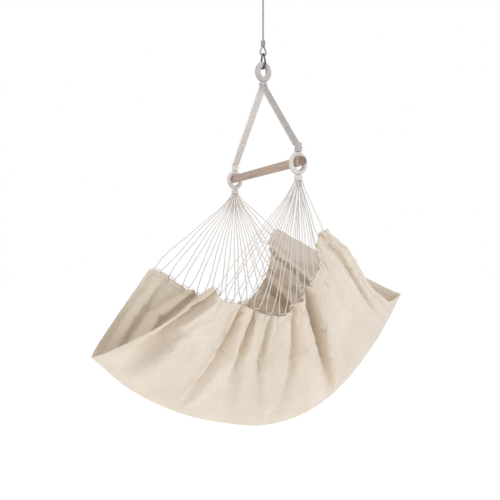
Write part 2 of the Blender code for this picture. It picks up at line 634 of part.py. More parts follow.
def make_fan_cord(side, number):
    """A cord from the neck down to the sheet's rim, along it to its other foot and back to the neck."""
    y = (number - (CORD_COUNT - 1) / 2) * CORD_PITCH
    row = CORD_ROWS[number % len(CORD_ROWS)]
    heads, feet = [], []
    for leg in (-1, 1):
        heads.append(Vector((side * EYE_X + leg * row, y, NECK_BOTTOM_Z - GAP)))
        share = (number + 0.5 + leg * CORD_LEG_SHARE / 2) / CORD_COUNT
        rim = string_edge[side](share)
        out = (rim - sheet_point(share, side * NEAR_RIM)).normalized()
        feet.append(rim + out * CORD_STANDOFF)
    # the outer cords turn away first, so that each one leaves room for the next
    drop = Vector((0.0, 0.0, -CORD_DROP - CORD_DROP_STEP * min(number, CORD_COUNT - 1 - number)))
    span = feet[1] - feet[0]
    knees = [head + drop for head in heads]
    ways = [(foot - knee).normalized() for foot, knee in zip(feet, knees)]
    runs = [span.normalized(), -span.normalized()]
    turns = [way.angle(run) for way, run in zip(ways, runs)]
    reaches = [max(CORD_BEND * math.tan(turn / 2), CORD_DIAMETER / 2) for turn in turns]
    squeeze = min(1.0, CORD_RUN_SHARE * span.length / sum(reaches))
    legs = []
    for head, knee, foot, way, run, reach in zip(heads, knees, feet, ways, runs, reaches):
        turn_in = foot - way * reach * squeeze
        legs.append([head, head + drop * CORD_KNEE, knee + way * CORD_TURN_OUT, knee.lerp(turn_in, 0.5)]
                    + corner(foot, way, run, reach * squeeze))
    name = "left" if side < 0 else "right"
    keep(tube(legs[0] + legs[1][::-1], CORD_DIAMETER, 2), f"{name}_cord_{number + 1:02d}", CORD)


make_ceiling_plate()
make_plate_screw(1, -1)
make_plate_screw(2, 1)
make_ceiling_eye()
make_quick_link()
make_cable()
make_snap_hook()
make_ring()
for bar_side in (-1, 1):
    for rope_number in range(ROPE_COUNT):
        make_rope(bar_side, rope_number)
    make_knot(bar_side)
    make_rope_eye(bar_side)
    for cord_number in range(CORD_COUNT):
        make_fan_cord(bar_side, cord_number)
make_spreader_bar()
make_canvas()
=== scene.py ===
"""Looks of the hanging hammock chair: canvas, cords, ropes, wood and steel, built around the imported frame.

Metres, +Z up.  The origin is the ceiling plate's top face; the bar runs along X and the sitter faces -Y.
"""

import json
import math
import random

import bmesh
import bpy
import numpy as np
from mathutils import Matrix, Vector, noise

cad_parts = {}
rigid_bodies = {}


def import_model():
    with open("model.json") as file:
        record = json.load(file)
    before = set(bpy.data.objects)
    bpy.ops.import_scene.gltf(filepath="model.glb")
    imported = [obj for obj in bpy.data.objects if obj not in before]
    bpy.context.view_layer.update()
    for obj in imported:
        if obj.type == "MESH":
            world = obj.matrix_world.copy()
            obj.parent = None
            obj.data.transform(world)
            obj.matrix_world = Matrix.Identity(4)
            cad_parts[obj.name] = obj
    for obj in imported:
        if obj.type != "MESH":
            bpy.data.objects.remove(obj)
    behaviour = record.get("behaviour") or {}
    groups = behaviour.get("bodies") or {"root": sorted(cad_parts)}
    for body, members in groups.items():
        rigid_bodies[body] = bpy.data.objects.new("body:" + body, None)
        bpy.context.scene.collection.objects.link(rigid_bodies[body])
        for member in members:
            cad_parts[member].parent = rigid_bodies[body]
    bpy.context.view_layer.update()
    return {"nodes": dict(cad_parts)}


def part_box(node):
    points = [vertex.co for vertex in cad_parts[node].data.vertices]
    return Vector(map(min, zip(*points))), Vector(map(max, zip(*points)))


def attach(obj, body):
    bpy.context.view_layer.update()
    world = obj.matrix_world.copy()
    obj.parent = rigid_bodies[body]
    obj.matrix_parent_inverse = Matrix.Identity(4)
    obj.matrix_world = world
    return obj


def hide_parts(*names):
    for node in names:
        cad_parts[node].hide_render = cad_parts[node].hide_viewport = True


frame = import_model()
bpy.ops.object.select_all(action="DESELECT")


# ------------------------------------------------------------------ camera, light and floor
# The studio: a level camera, a wide pale floor well below the seat, a white surround and three
# soft lights.
bar_low, bar_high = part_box("spreader_bar")
bar_middle = (bar_low + bar_high) / 2

LOOK_ALONG = Vector((-0.9085, 0.4179, 0.0))
camera_data = bpy.data.cameras.new("camera")
camera_data.lens = 43.7
camera_data.sensor_width = 36.0
camera = bpy.data.objects.new("camera", camera_data)
camera.location = bar_middle + Vector((2.2915, -1.1146, -0.330))
camera.rotation_mode = "QUATERNION"
camera.rotation_quaternion = LOOK_ALONG.to_track_quat("-Z", "Y")
bpy.context.scene.collection.objects.link(camera)
bpy.context.scene.camera = camera
bpy.context.scene.view_settings.view_transform = "Standard"

FLOOR_Z = -2.75
FLOOR_RADIUS = 30.0


def soft_light(name, place, size, power, colour):
    light = bpy.data.lights.new(name, "AREA")
    light.shape = "DISK"
    light.size = size
    light.energy = power
    light.color = colour
    lamp = bpy.data.objects.new(name, light)
    lamp.location = bar_middle + Vector(place)
    lamp.rotation_mode = "QUATERNION"
    lamp.rotation_quaternion = (Vector((0.0, 0.0, -0.6)) - Vector(place)).to_track_quat("-Z", "Y")
    bpy.context.scene.collection.objects.link(lamp)


soft_light("key_light", (1.5, -3.0, -1.6), 1.3, 11.0, (0.86, 1.0, 1.32))
soft_light("side_light", (3.0, 1.8, 0.3), 2.0, 24.0, (0.88, 1.0, 1.26))
soft_light("inside_light", (1.2, -1.3, 2.2), 0.9, 26.0, (1.0, 0.96, 0.88))

world = bpy.data.worlds.new("studio")
world.use_nodes = True
world.node_tree.nodes["Background"].inputs["Color"].default_value = (0.97, 0.99, 1.04, 1.0)
world.node_tree.nodes["Background"].inputs["Strength"].default_value = 0.64
backdrop = world.node_tree.nodes.new("ShaderNodeBackground")
backdrop.inputs["Color"].default_value = (1.0, 1.0, 1.0, 1.0)
seen = world.node_tree.nodes.new("ShaderNodeLightPath")
choice = world.node_tree.nodes.new("ShaderNodeMixShader")
world.node_tree.links.new(seen.outputs["Is Camera Ray"], choice.inputs["Fac"])
world.node_tree.links.new(world.node_tree.nodes["Background"].outputs[0], choice.inputs[1])
world.node_tree.links.new(backdrop.outputs[0], choice.inputs[2])
world.node_tree.links.new(choice.outputs[0], world.node_tree.nodes["World Output"].inputs["Surface"])
bpy.context.scene.world = world

bpy.ops.mesh.primitive_circle_add(vertices=96, radius=FLOOR_RADIUS, fill_type="NGON",
                                  location=(0.0, 0.0, FLOOR_Z))
floor = bpy.context.object
floor.name = "floor"
bpy.ops.object.mode_set(mode="EDIT")
bpy.ops.mesh.select_all(action="SELECT")
bpy.ops.mesh.inset(thickness=0.5 * FLOOR_RADIUS)
bpy.ops.object.mode_set(mode="OBJECT")
floor.data.transform(Matrix.Translation(floor.location))
floor.location = (0.0, 0.0, 0.0)
floor.select_set(False)


def plain_material(name, colour, roughness, metallic=0.0):
    """A material with one Principled shader; returns it with its node tree and its shader."""
    made = bpy.data.materials.new(name)
    made.use_nodes = True
    shader = made.node_tree.nodes["Principled BSDF"]
    shader.inputs["Base Color"].default_value = (*colour, 1.0)
    shader.inputs["Roughness"].default_value = roughness
    shader.inputs["Metallic"].default_value = metallic
    made.diffuse_color = (*colour, 1.0)
    return made, made.node_tree, shader


def node(tree, kind, **values):
    """A node with its properties and its inputs set by name; an input may be a socket to link from."""
    made = tree.nodes.new(kind)
    for key, value in values.items():
        if hasattr(made, key):
            setattr(made, key, value)
            continue
        socket = made.inputs[int(key[1:])] if key[0] == "i" and key[1:].isdigit() else made.inputs[key]
        if isinstance(value, bpy.types.NodeSocket):
            tree.links.new(value, socket)
        else:
            socket.default_value = value
    return made


def shades(tree, factor, *stops):
    """A colour ramp: stops are (place, colour)."""
    ramp = tree.nodes.new("ShaderNodeValToRGB")
    tree.links.new(factor, ramp.inputs["Fac"])
    while len(ramp.color_ramp.elements) < len(stops):
        ramp.color_ramp.elements.new(0.5)
    for element, (place, colour) in zip(ramp.color_ramp.elements, stops):
        element.position = place
        element.color = (*colour, 1.0)
    return ramp.outputs["Color"]


def finish_with(tree, shader, colour=None, roughness=None, height=None, bump=0.2, distance=0.001):
    """Feed a colour, a roughness and a bump height that change over the surface into the shader."""
    if colour is not None:
        tree.links.new(colour, shader.inputs["Base Color"])
    if roughness is not None:
        tree.links.new(roughness, shader.inputs["Roughness"])
    if height is not None:
        relief = node(tree, "ShaderNodeBump", Height=height, Strength=bump, Distance=distance)
        tree.links.new(relief.outputs["Normal"], shader.inputs["Normal"])


floor_finish, floor_tree, floor_shader = plain_material("floor_paint", (0.93, 0.93, 0.93), 0.9)
mottle = node(floor_tree, "ShaderNodeTexNoise", Scale=3.0, Detail=3.0)
finish_with(floor_tree, floor_shader, shades(floor_tree, mottle.outputs["Fac"],
                                             (0.3, (0.95, 0.95, 0.95)), (0.7, (0.97, 0.97, 0.97))))
floor_shader.inputs["Emission Color"].default_value = (1.0, 1.0, 1.0, 1.0)
floor_shader.inputs["Emission Strength"].default_value = 0.40
floor.data.materials.append(floor_finish)


# ------------------------------------------------------------------ fan cords
# Twelve undyed cotton cords a side, 3.2 mm thick and laid up from three plies.  Each runs from the
# neck down to the canvas rim, along the rim between its two eyelet loops, and back up to the neck.
CORD_DIAMETER = 0.0032
CORD_COUNT = 12
CORD_PITCH = 0.85 * CORD_DIAMETER
CORD_DROP = 0.006
CORD_DROP_STEP = 0.0018
CORD_ROWS = (0.7 * CORD_DIAMETER, 1.9 * CORD_DIAMETER)
CORD_KNEE = 0.7
CORD_TURN_OUT = 0.004
CORD_LEG_SHARE = 0.44
CORD_STANDOFF = 0.0085
CORD_BEND = 0.0050
CORD_RUN_SHARE = 0.94
CORNER_SHARES = (0.0, 0.25, 0.5, 0.75, 1.0)
GAP = 0.0003
EYE_X = 0.300
BAR_Z = bar_middle.z
neck_bottom_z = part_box("left_neck")[0].z

# The sheet's middle line, front hem to back hem: (y, z) from the bar's axis.
KEEL = [(-0.706, -0.728), (-0.560, -0.862), (-0.380, -0.965), (-0.190, -1.028), (0.000, -1.057),
        (0.190, -1.025), (0.370, -0.925), (0.530, -0.780), (0.650, -0.635), (0.715, -0.535)]
# The two string edges, front corner to back corner: (inset from the rope eye's plane, y, z).
LEFT_EDGE = [(0.000, -0.408, -0.409), (0.020, -0.347, -0.431), (0.030, -0.295, -0.471),
             (0.050, -0.223, -0.516), (0.055, -0.150, -0.553), (0.080, -0.050, -0.585),
             (0.085, 0.030, -0.555), (0.100, 0.100, -0.470), (0.100, 0.135, -0.367),
             (0.095, 0.130, -0.290), (0.080, 0.182, -0.225)]
RIGHT_EDGE = [(0.000, -0.340, -0.460), (0.030, -0.291, -0.510), (0.050, -0.212, -0.530),
              (0.080, -0.090, -0.577), (0.095, 0.002, -0.580), (0.100, 0.085, -0.490),
              (0.100, 0.150, -0.405), (0.100, 0.140, -0.300), (0.080, 0.175, -0.240)]
BELLY_AT_HEMS = 0.060
BELLY_IN_MIDDLE = 0.170
SHOULDER = 0.020
SHOULDER_PLACE = 0.36
LEFT_SAG = 0.010
RIGHT_SAG = 0.030


def catmull(points, u):
    """The point at u, from 0 to 1, on the smooth curve through the points."""
    last = len(points) - 1
    along = min(max(u, 0.0), 1.0) * last
    i = min(int(along), last - 1)
    f = along - i
    p1, p2 = points[i], points[i + 1]
    p0 = points[i - 1] if i > 0 else 2 * p1 - p2
    p3 = points[i + 2] if i + 2 <= last else 2 * p2 - p1
    return 0.5 * (2 * p1 + (p2 - p0) * f + (2 * p0 - 5 * p1 + 4 * p2 - p3) * f ** 2
                  + (3 * p1 - p0 - 3 * p2 + p3) * f ** 3)


def even_curve(points, steps=200):
    """The smooth curve through the points, as a function of the share of its length from 0 to 1."""
    trail = [catmull(points, i / steps) for i in range(steps + 1)]
    run = [0.0]
    for a, b in zip(trail, trail[1:]):
        run.append(run[-1] + (b - a).length)

    def at(share):
        goal = min(max(share, 0.0), 1.0) * run[-1]
        i = 0
        while i < steps - 1 and run[i + 1] < goal:
            i += 1
        return trail[i].lerp(trail[i + 1], (goal - run[i]) / (run[i + 1] - run[i]))

    return at


def bezier(p0, p1, p2, p3, u):
    v = 1.0 - u
    return p0 * v ** 3 + p1 * 3 * v ** 2 * u + p2 * 3 * v * u ** 2 + p3 * u ** 3


keel = even_curve([Vector((0.0, y, BAR_Z + z)) for y, z in KEEL])
string_edge = {
    -1: even_curve([Vector((inset - EYE_X, y, BAR_Z + z)) for inset, y, z in LEFT_EDGE]),
    1: even_curve([Vector((EYE_X - inset, y, BAR_Z + z)) for inset, y, z in RIGHT_EDGE]),
}


def sheet_point(s, t):
    """The smooth sheet at s, from 0 at the front hem to 1 at the back, and t, from -1 to 1."""
    side = -1 if t < 0 else 1
    middle, edge = keel(s), string_edge[side](s)
    belly = BELLY_AT_HEMS + (BELLY_IN_MIDDLE - BELLY_AT_HEMS) * math.sin(math.pi * s)
    sag = LEFT_SAG if side < 0 else RIGHT_SAG
    level = middle + Vector((side * belly, 0.0, 0.0))
    swell = edge.lerp(middle, SHOULDER_PLACE) + Vector((side * SHOULDER, 0.0, -sag))
    return bezier(middle, level, swell, edge, abs(t))


def rim_foot(side, number, leg):
    """Where a cord's foot sits on the rim, and the way out of the sheet there."""
    share = (number + 0.5 + leg * CORD_LEG_SHARE / 2) / CORD_COUNT
    rim = string_edge[side](share)
    return rim, (rim - sheet_point(share, side * 0.95)).normalized()


def corner(foot, way, along, reach):
    """Points of a round bend at foot, from the way in to the way along; it starts reach before foot."""
    turn = way.angle(along)
    centre = foot + (along - way).normalized() * reach / math.sin(turn / 2)
    start, end = foot - way * reach - centre, foot + along * reach - centre
    return [centre + start.slerp(end, u) * start.length for u in CORNER_SHARES]


def cord_route(side, number):
    """The cord's own points, the same as its solid's."""
    y = (number - (CORD_COUNT - 1) / 2) * CORD_PITCH
    row = CORD_ROWS[number % len(CORD_ROWS)]
    heads, feet = [], []
    for leg in (-1, 1):
        heads.append(Vector((side * EYE_X + leg * row, y, neck_bottom_z - GAP)))
        rim, out = rim_foot(side, number, leg)
        feet.append(rim + out * CORD_STANDOFF)
    drop = Vector((0.0, 0.0, -CORD_DROP - CORD_DROP_STEP * min(number, CORD_COUNT - 1 - number)))
    span = feet[1] - feet[0]
    knees = [head + drop for head in heads]
    ways = [(foot - knee).normalized() for foot, knee in zip(feet, knees)]
    runs = [span.normalized(), -span.normalized()]
    turns = [way.angle(run) for way, run in zip(ways, runs)]
    reaches = [max(CORD_BEND * math.tan(turn / 2), CORD_DIAMETER / 2) for turn in turns]
    squeeze = min(1.0, CORD_RUN_SHARE * span.length / sum(reaches))
    legs = []
    for head, knee, foot, way, run, reach in zip(heads, knees, feet, ways, runs, reaches):
        turn_in = foot - way * reach * squeeze
        legs.append([head, head + drop * CORD_KNEE, knee + way * CORD_TURN_OUT, knee.lerp(turn_in, 0.5)]
                    + corner(foot, way, run, reach * squeeze))
    return legs[0] + legs[1][::-1]


def smooth_route(points, step, closed=False):
    """Evenly spaced points on a smooth curve through a route, whose own points may be far apart."""
    count = len(points)
    pairs = count if closed else count - 1
    gaps = [(points[(i + 1) % count] - points[i]).length for i in range(pairs)]
    chords = [(points[(i + 1) % count] - points[i]) / gaps[i] for i in range(pairs)]
    slopes = []
    for i in range(count):
        if not closed and i in (0, count - 1):
            slopes.append(chords[0] if i == 0 else chords[-1])
            continue
        before, after = gaps[i - 1], gaps[i % pairs]
        slopes.append((chords[i - 1] * after + chords[i % pairs] * before) / (before + after))
    fine = []
    for i in range(pairs):
        a, b, gap = points[i], points[(i + 1) % count], gaps[i]
        cuts = max(2, round(gap / step * 2))
        for j in range(cuts):
            f = j / cuts
            fine.append(a * (2 * f ** 3 - 3 * f ** 2 + 1) + slopes[i] * gap * (f ** 3 - 2 * f ** 2 + f)
                        + b * (3 * f ** 2 - 2 * f ** 3)
                        + slopes[(i + 1) % count] * gap * (f ** 3 - f ** 2))
    fine.append(points[0] if closed else points[-1])
    line = np.array(fine)
    run = np.concatenate([[0.0], np.cumsum(np.linalg.norm(np.diff(line, axis=0), axis=1))])
    places = np.linspace(0.0, run[-1], max(3, round(run[-1] / step)) + 1)
    return np.stack([np.interp(places, run, line[:, k]) for k in range(3)], axis=1), places


LOBE_MEAN = 0.96


def strand_radius(angle, strands):
    """Outline of strands laid round each other, at an angle round the rope, for a rope of radius 1."""
    small = math.sin(math.pi / strands) / (1 + math.sin(math.pi / strands))
    ring = 1 - small
    apart = (angle + math.pi / strands) % (2 * math.pi / strands) - math.pi / strands
    lobed = ring * math.cos(apart) + math.sqrt(max(small ** 2 - (ring * math.sin(apart)) ** 2, 0.0))
    return 0.55 * lobed + 0.45 * LOBE_MEAN


def sweep(name, line, places, outline, twist=0.0, closed=False, swell=None):
    """A tube along line.  outline is a list of (angle, radius), twist is in turns a metre, and swell
    gives a factor on the radius from the distance along and the angle.  The UV map is in metres."""
    count, sides = len(line), len(outline)
    if closed:
        line, places, count = line[:-1], places, count - 1
    ways = np.roll(line, -1, axis=0) - np.roll(line, 1, axis=0)
    if not closed:
        ways[0], ways[-1] = line[1] - line[0], line[-1] - line[-2]
    ways /= np.linalg.norm(ways, axis=1)[:, None]
    start = np.cross(ways[0], (1.0, 0.0, 0.0) if abs(ways[0][0]) < 0.8 else (0.0, 1.0, 0.0))
    normals = [start / np.linalg.norm(start)]
    for way in ways[1:]:
        flat = normals[-1] - way * np.dot(way, normals[-1])
        normals.append(flat / np.linalg.norm(flat))
    normals = np.array(normals)
    slip = 0.0
    if closed:
        home = normals[-1] - ways[0] * np.dot(ways[0], normals[-1])
        side = np.cross(ways[0], normals[0])
        slip = math.atan2(np.dot(home, side), np.dot(home, normals[0]))
    binormals = np.cross(ways, normals)
    verts = []
    for i in range(count):
        turn = 2 * math.pi * twist * places[i] - slip * i / count
        for angle, radius in outline:
            grow = swell(places[i], angle) if swell else 1.0
            verts.append(line[i] + radius * grow * (math.cos(angle + turn) * normals[i]
                                                    + math.sin(angle + turn) * binormals[i]))
    faces, coords = [], []
    around = 2 * math.pi * max(radius for angle, radius in outline)
    for i in range(count if closed else count - 1):
        nxt = (i + 1) % count
        for k in range(sides):
            faces.append((i * sides + k, i * sides + (k + 1) % sides,
                          nxt * sides + (k + 1) % sides, nxt * sides + k))
            low, high = k / sides * around, (k + 1) / sides * around
            coords += [(places[i], low), (places[i], high), (places[i + 1], high), (places[i + 1], low)]
    if not closed:
        faces += [tuple(reversed(range(sides))), tuple((count - 1) * sides + k for k in range(sides))]
        coords += [(0.0, 0.0)] * (2 * sides)
    mesh = bpy.data.meshes.new(name)
    mesh.from_pydata([tuple(v) for v in verts], [], faces)
    chart = mesh.uv_layers.new(name="along")
    chart.data.foreach_set("uv", np.array(coords, np.float32).ravel())
    mesh.shade_smooth()
    made = bpy.data.objects.new(name, mesh)
    bpy.context.scene.collection.objects.link(made)
    return made


def rope_outline(strands, radius, each):
    """Points round a rope of so many strands, each strand shown by so many points."""
    angles = [2 * math.pi * k / (strands * each) for k in range(strands * each)]
    return [(a, radius * strand_radius(a, strands)) for a in angles]


def cotton_group():
    """Yarn: fine fibres that wind along a rope's UV map, and soft blotches of colour."""
    tree = bpy.data.node_groups.new("cotton_yarn", "ShaderNodeTree")
    for name, kind, value in (("Fibre Scale", "NodeSocketFloat", 900.0), ("Slant", "NodeSocketFloat", 1.0)):
        tree.interface.new_socket(name, in_out="INPUT", socket_type=kind).default_value = value
    for name in ("Tone", "Height"):
        tree.interface.new_socket(name, in_out="OUTPUT", socket_type="NodeSocketFloat")
    inside, outside = tree.nodes.new("NodeGroupInput"), tree.nodes.new("NodeGroupOutput")
    chart = tree.nodes.new("ShaderNodeTexCoord")
    parts = node(tree, "ShaderNodeSeparateXYZ", i0=chart.outputs["UV"])
    slanted = node(tree, "ShaderNodeMath", operation="MULTIPLY_ADD", i0=parts.outputs["X"],
                   i1=inside.outputs["Slant"], i2=parts.outputs["Y"])
    wound = node(tree, "ShaderNodeMath", operation="MULTIPLY", i0=slanted.outputs[0],
                 i1=inside.outputs["Fibre Scale"])
    place = node(tree, "ShaderNodeCombineXYZ", i0=wound.outputs[0])
    wobble = node(tree, "ShaderNodeTexNoise", Vector=chart.outputs["Object"], Scale=700.0, Detail=2.0)
    shifted = node(tree, "ShaderNodeVectorMath", operation="ADD", i0=place.outputs[0],
                   i1=wobble.outputs["Color"])
    wave = node(tree, "ShaderNodeTexWave", Vector=shifted.outputs[0], Scale=1.0, Distortion=0.6)
    blotch = node(tree, "ShaderNodeTexNoise", Vector=chart.outputs["Object"], Scale=38.0, Detail=4.0)
    tone = node(tree, "ShaderNodeMath", operation="MULTIPLY_ADD", i0=wave.outputs["Fac"], i1=0.35,
                i2=blotch.outputs["Fac"])
    fuzz = node(tree, "ShaderNodeTexNoise", Vector=chart.outputs["Object"], Scale=900.0, Detail=2.0)
    height = node(tree, "ShaderNodeMath", operation="MULTIPLY_ADD", i0=fuzz.outputs["Fac"], i1=0.4,
                  i2=wave.outputs["Fac"])
    tree.links.new(tone.outputs[0], outside.inputs["Tone"])
    tree.links.new(height.outputs[0], outside.inputs["Height"])
    return tree


COTTON = cotton_group()


def cotton_material(name, dark, light, scale, slant, bump):
    made, tree, shader = plain_material(name, light, 0.92)
    shader.inputs["Sheen Weight"].default_value = 0.25
    yarn = tree.nodes.new("ShaderNodeGroup")
    yarn.node_tree = COTTON
    yarn.inputs["Fibre Scale"].default_value = scale
    yarn.inputs["Slant"].default_value = slant
    finish_with(tree, shader, shades(tree, yarn.outputs["Tone"], (0.30, dark), (0.95, light)),
                height=yarn.outputs["Height"], bump=bump, distance=0.0004)
    return made


cord_finish = cotton_material("cotton_cord", (0.70, 0.62, 0.54), (0.84, 0.77, 0.69), 2600.0, 1.4, 0.35)
cord_outline = rope_outline(3, 1.32 * CORD_DIAMETER / 2, 3)
SIDES = {-1: "left", 1: "right"}
for side, side_name in SIDES.items():
    for number in range(CORD_COUNT):
        points = cord_route(side, number)
        line, places = smooth_route(points, 0.0022)
        piece = sweep(f"{side_name}_fan_cord_{number + 1:02d}", line, places, cord_outline, twist=52.0)
        piece.data.materials.append(cord_finish)
        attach(piece, "seat")
        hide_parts(f"{side_name}_cord_{number + 1:02d}")


# ------------------------------------------------------------------ steel cable and its two loops
# Galvanised wire rope, 7 mm: six strands round a core.  The free stretch is cut between two pressed
# sleeves, and each loop is the same rope bent back on itself.
cable_low, cable_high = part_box("suspension_cable")
CABLE_DIAMETER = 0.007


def metal_group():
    """Worn metal: cloudy stains, fine grit and rubbed spots."""
    tree = bpy.data.node_groups.new("worn_metal", "ShaderNodeTree")
    cloud_socket = tree.interface.new_socket("Cloud Scale", in_out="INPUT", socket_type="NodeSocketFloat")
    cloud_socket.default_value = 60.0
    for name in ("Cloud", "Grit"):
        tree.interface.new_socket(name, in_out="OUTPUT", socket_type="NodeSocketFloat")
    inside, outside = tree.nodes.new("NodeGroupInput"), tree.nodes.new("NodeGroupOutput")
    chart = tree.nodes.new("ShaderNodeTexCoord")
    cloud = node(tree, "ShaderNodeTexNoise", Vector=chart.outputs["Object"], Detail=5.0, Roughness=0.62,
                 Scale=inside.outputs["Cloud Scale"])
    grit = node(tree, "ShaderNodeTexNoise", Vector=chart.outputs["Object"], Scale=1400.0, Detail=2.0)
    tree.links.new(cloud.outputs["Fac"], outside.inputs["Cloud"])
    tree.links.new(grit.outputs["Fac"], outside.inputs["Grit"])
    return tree


WORN_METAL = metal_group()


def metal_material(name, dark, light, smooth, rough, cloud_scale, bump):
    made, tree, shader = plain_material(name, light, rough, 1.0)
    wear = tree.nodes.new("ShaderNodeGroup")
    wear.node_tree = WORN_METAL
    wear.inputs["Cloud Scale"].default_value = cloud_scale
    gloss = node(tree, "ShaderNodeMapRange", Value=wear.outputs["Cloud"])
    gloss.inputs["From Min"].default_value = 0.3
    gloss.inputs["From Max"].default_value = 0.7
    gloss.inputs["To Min"].default_value = smooth
    gloss.inputs["To Max"].default_value = rough
    finish_with(tree, shader, shades(tree, wear.outputs["Cloud"], (0.32, dark), (0.68, light)),
                gloss.outputs["Result"], wear.outputs["Grit"], bump, 0.0002)
    return made


steel_finish = metal_material("galvanised_steel", (0.27, 0.27, 0.275), (0.46, 0.46, 0.465),
                              0.40, 0.62, 90.0, 0.12)
dark_finish = metal_material("dark_steel", (0.075, 0.075, 0.078), (0.17, 0.168, 0.165),
                             0.32, 0.60, 120.0, 0.15)
sleeve_finish = metal_material("pressed_aluminium", (0.26, 0.26, 0.265), (0.42, 0.42, 0.425),
                               0.38, 0.60, 70.0, 0.12)


def wire_rope(name, points, diameter, step, closed=False):
    line, places = smooth_route(points, step, closed)
    piece = sweep(name, line, places, rope_outline(6, 1.05 * diameter / 2, 4),
                  twist=round(places[-1] * 22.0) / places[-1], closed=closed)
    piece.data.materials.append(steel_finish)
    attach(piece, "hanger_cable")
    return piece, line, places


cable_route = [Vector((0.0, 0.0, cable_high.z + (cable_low.z - cable_high.z) * i / 16)) for i in range(17)]
cable, line, places = wire_rope("wire_cable", cable_route, CABLE_DIAMETER, 0.0012)
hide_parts("suspension_cable")


def loop_route(low, high, apex_down):
    """The middle line of a pressed loop, from its box: a round apex and a narrow throat."""
    reach = high - low
    across = Vector((1.0, 0.0, 0.0)) if reach.x > reach.y else Vector((0.0, 1.0, 0.0))
    half = max(reach.x, reach.y) / 2 - CABLE_DIAMETER / 2
    way = -1.0 if apex_down else 1.0
    apex = (low.z + CABLE_DIAMETER / 2) if apex_down else (high.z - CABLE_DIAMETER / 2)
    throat = high.z if apex_down else low.z
    height, pinch = abs(apex - throat), CABLE_DIAMETER * 0.55
    centre = apex - way * half
    flat = [(half * math.cos(math.pi * i / 12), centre + way * half * math.sin(math.pi * i / 12))
            for i in range(13)]
    tail = [(-half + (half - pinch) * f ** 1.5, centre - way * (height - half - pinch) * f)
            for f in (0.35, 0.7, 1.0)]
    flat += tail + [(0.0, throat + way * CABLE_DIAMETER / 2)] + [(-a, z) for a, z in reversed(tail)]
    return [across * a + Vector((0.0, 0.0, z)) for a, z in flat]


for name, apex_down in (("upper_loop", False), ("lower_loop", True)):
    piece, line, places = wire_rope(f"{name}_rope", loop_route(*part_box(name), apex_down),
                                    CABLE_DIAMETER * 0.98, 0.0012, closed=True)
    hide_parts(name)


# ------------------------------------------------------------------ metal fittings
# Ceiling plate with two countersunk screws and a welded eye, an oval quick link with a hexagonal
# sleeve nut, pressed sleeves, and a forged snap hook with its sprung gate and pin.
WELD = 1e-6                         # points nearer than this become one
FLAT_ANGLE = math.radians(20.0)     # triangles flatter than this are joined up
SHAPE_ANGLE = math.radians(50.0)    # and their corners may be this far from square
EDGE_ANGLE = math.radians(50.0)     # sharper edges stay hard when a fitting is subdivided


def smooth_copy(node_name, body, finish, subdivide=0, sharp=35.0):
    """A part's own shape with its faces joined up and its round sides made smooth."""
    source = frame["nodes"][node_name]
    mesh = source.data.copy()
    shape = bmesh.new()
    shape.from_mesh(mesh)
    bmesh.ops.remove_doubles(shape, verts=shape.verts, dist=WELD)
    bmesh.ops.join_triangles(shape, faces=shape.faces, angle_face_threshold=FLAT_ANGLE,
                             angle_shape_threshold=SHAPE_ANGLE)
    crease = shape.edges.layers.float.new("crease_edge")
    for edge in shape.edges:
        if len(edge.link_faces) == 2 and edge.calc_face_angle() > EDGE_ANGLE:
            edge[crease] = 1.0
    shape.to_mesh(mesh)
    shape.free()
    mesh.materials.clear()
    mesh.materials.append(finish)
    piece = bpy.data.objects.new(f"{node_name}_part", mesh)
    bpy.context.scene.collection.objects.link(piece)
    bpy.context.view_layer.objects.active = piece
    piece.select_set(True)
    if subdivide:
        finer = piece.modifiers.new("finer", "SUBSURF")
        finer.levels = subdivide
        finer.render_levels = subdivide
        bpy.ops.object.modifier_apply(modifier="finer")
    bpy.ops.object.shade_smooth_by_angle(angle=math.radians(sharp))
    piece.select_set(False)
    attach(piece, body)
    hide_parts(node_name)
    return piece


for name in ("ceiling_plate", "plate_screw_1", "plate_screw_2"):
    smooth_copy(name, "ceiling_mount", steel_finish)
smooth_copy("ceiling_eye", "ceiling_mount", steel_finish, subdivide=1)
smooth_copy("quick_link", "link", steel_finish, subdivide=1)
smooth_copy("quick_link_nut", "link", steel_finish)
smooth_copy("upper_ferrule", "hanger_cable", sleeve_finish)
smooth_copy("lower_ferrule", "hanger_cable", sleeve_finish)
smooth_copy("snap_hook_body", "hook", dark_finish, subdivide=1)
smooth_copy("snap_hook_gate", "gate", dark_finish, subdivide=1)
smooth_copy("snap_hook_pin", "hook", steel_finish)


# ------------------------------------------------------------------ rope ring and its binding
# A soft rope core bent into an oval and served all round with thin cord, bound under the ring
# where the eight ropes leave it.
# The right side's ropes, whipping and thread ends are the same cotton as the left side's, coloured darker as
# painted shade: the shade that side falls in is painted into their colour.
rope_finishes = {-1: cotton_material("cotton_rope", (0.70, 0.64, 0.58), (0.78, 0.73, 0.67),
                                     500.0, 0.1, 0.08),
                 1: cotton_material("rope_painted_shade", (0.40, 0.365, 0.335), (0.50, 0.46, 0.43),
                                    500.0, 0.1, 0.08)}
serving_finish = cotton_material("serving_cord", (0.42, 0.385, 0.355), (0.54, 0.50, 0.47), 2200.0, 0.1, 0.15)


def oval_route(low, high, band, count):
    """The middle line of an oval ring in the YZ plane, from its box."""
    centre, half = (low + high) / 2, (high - low) / 2
    turns = [2 * math.pi * i / count for i in range(count)]
    return [centre + Vector((0.0, (half.y - band / 2) * math.cos(a), (half.z - band / 2) * math.sin(a)))
            for a in turns]


def served(pitch, depth, radius):
    """Ridges of a thin cord wound round a core: a factor on the core's radius."""
    def swell(place, angle):
        turn = place / pitch + angle / (2 * math.pi)
        return 1.0 - depth / radius * (1.0 - abs(math.sin(math.pi * turn)) ** 0.6)
    return swell


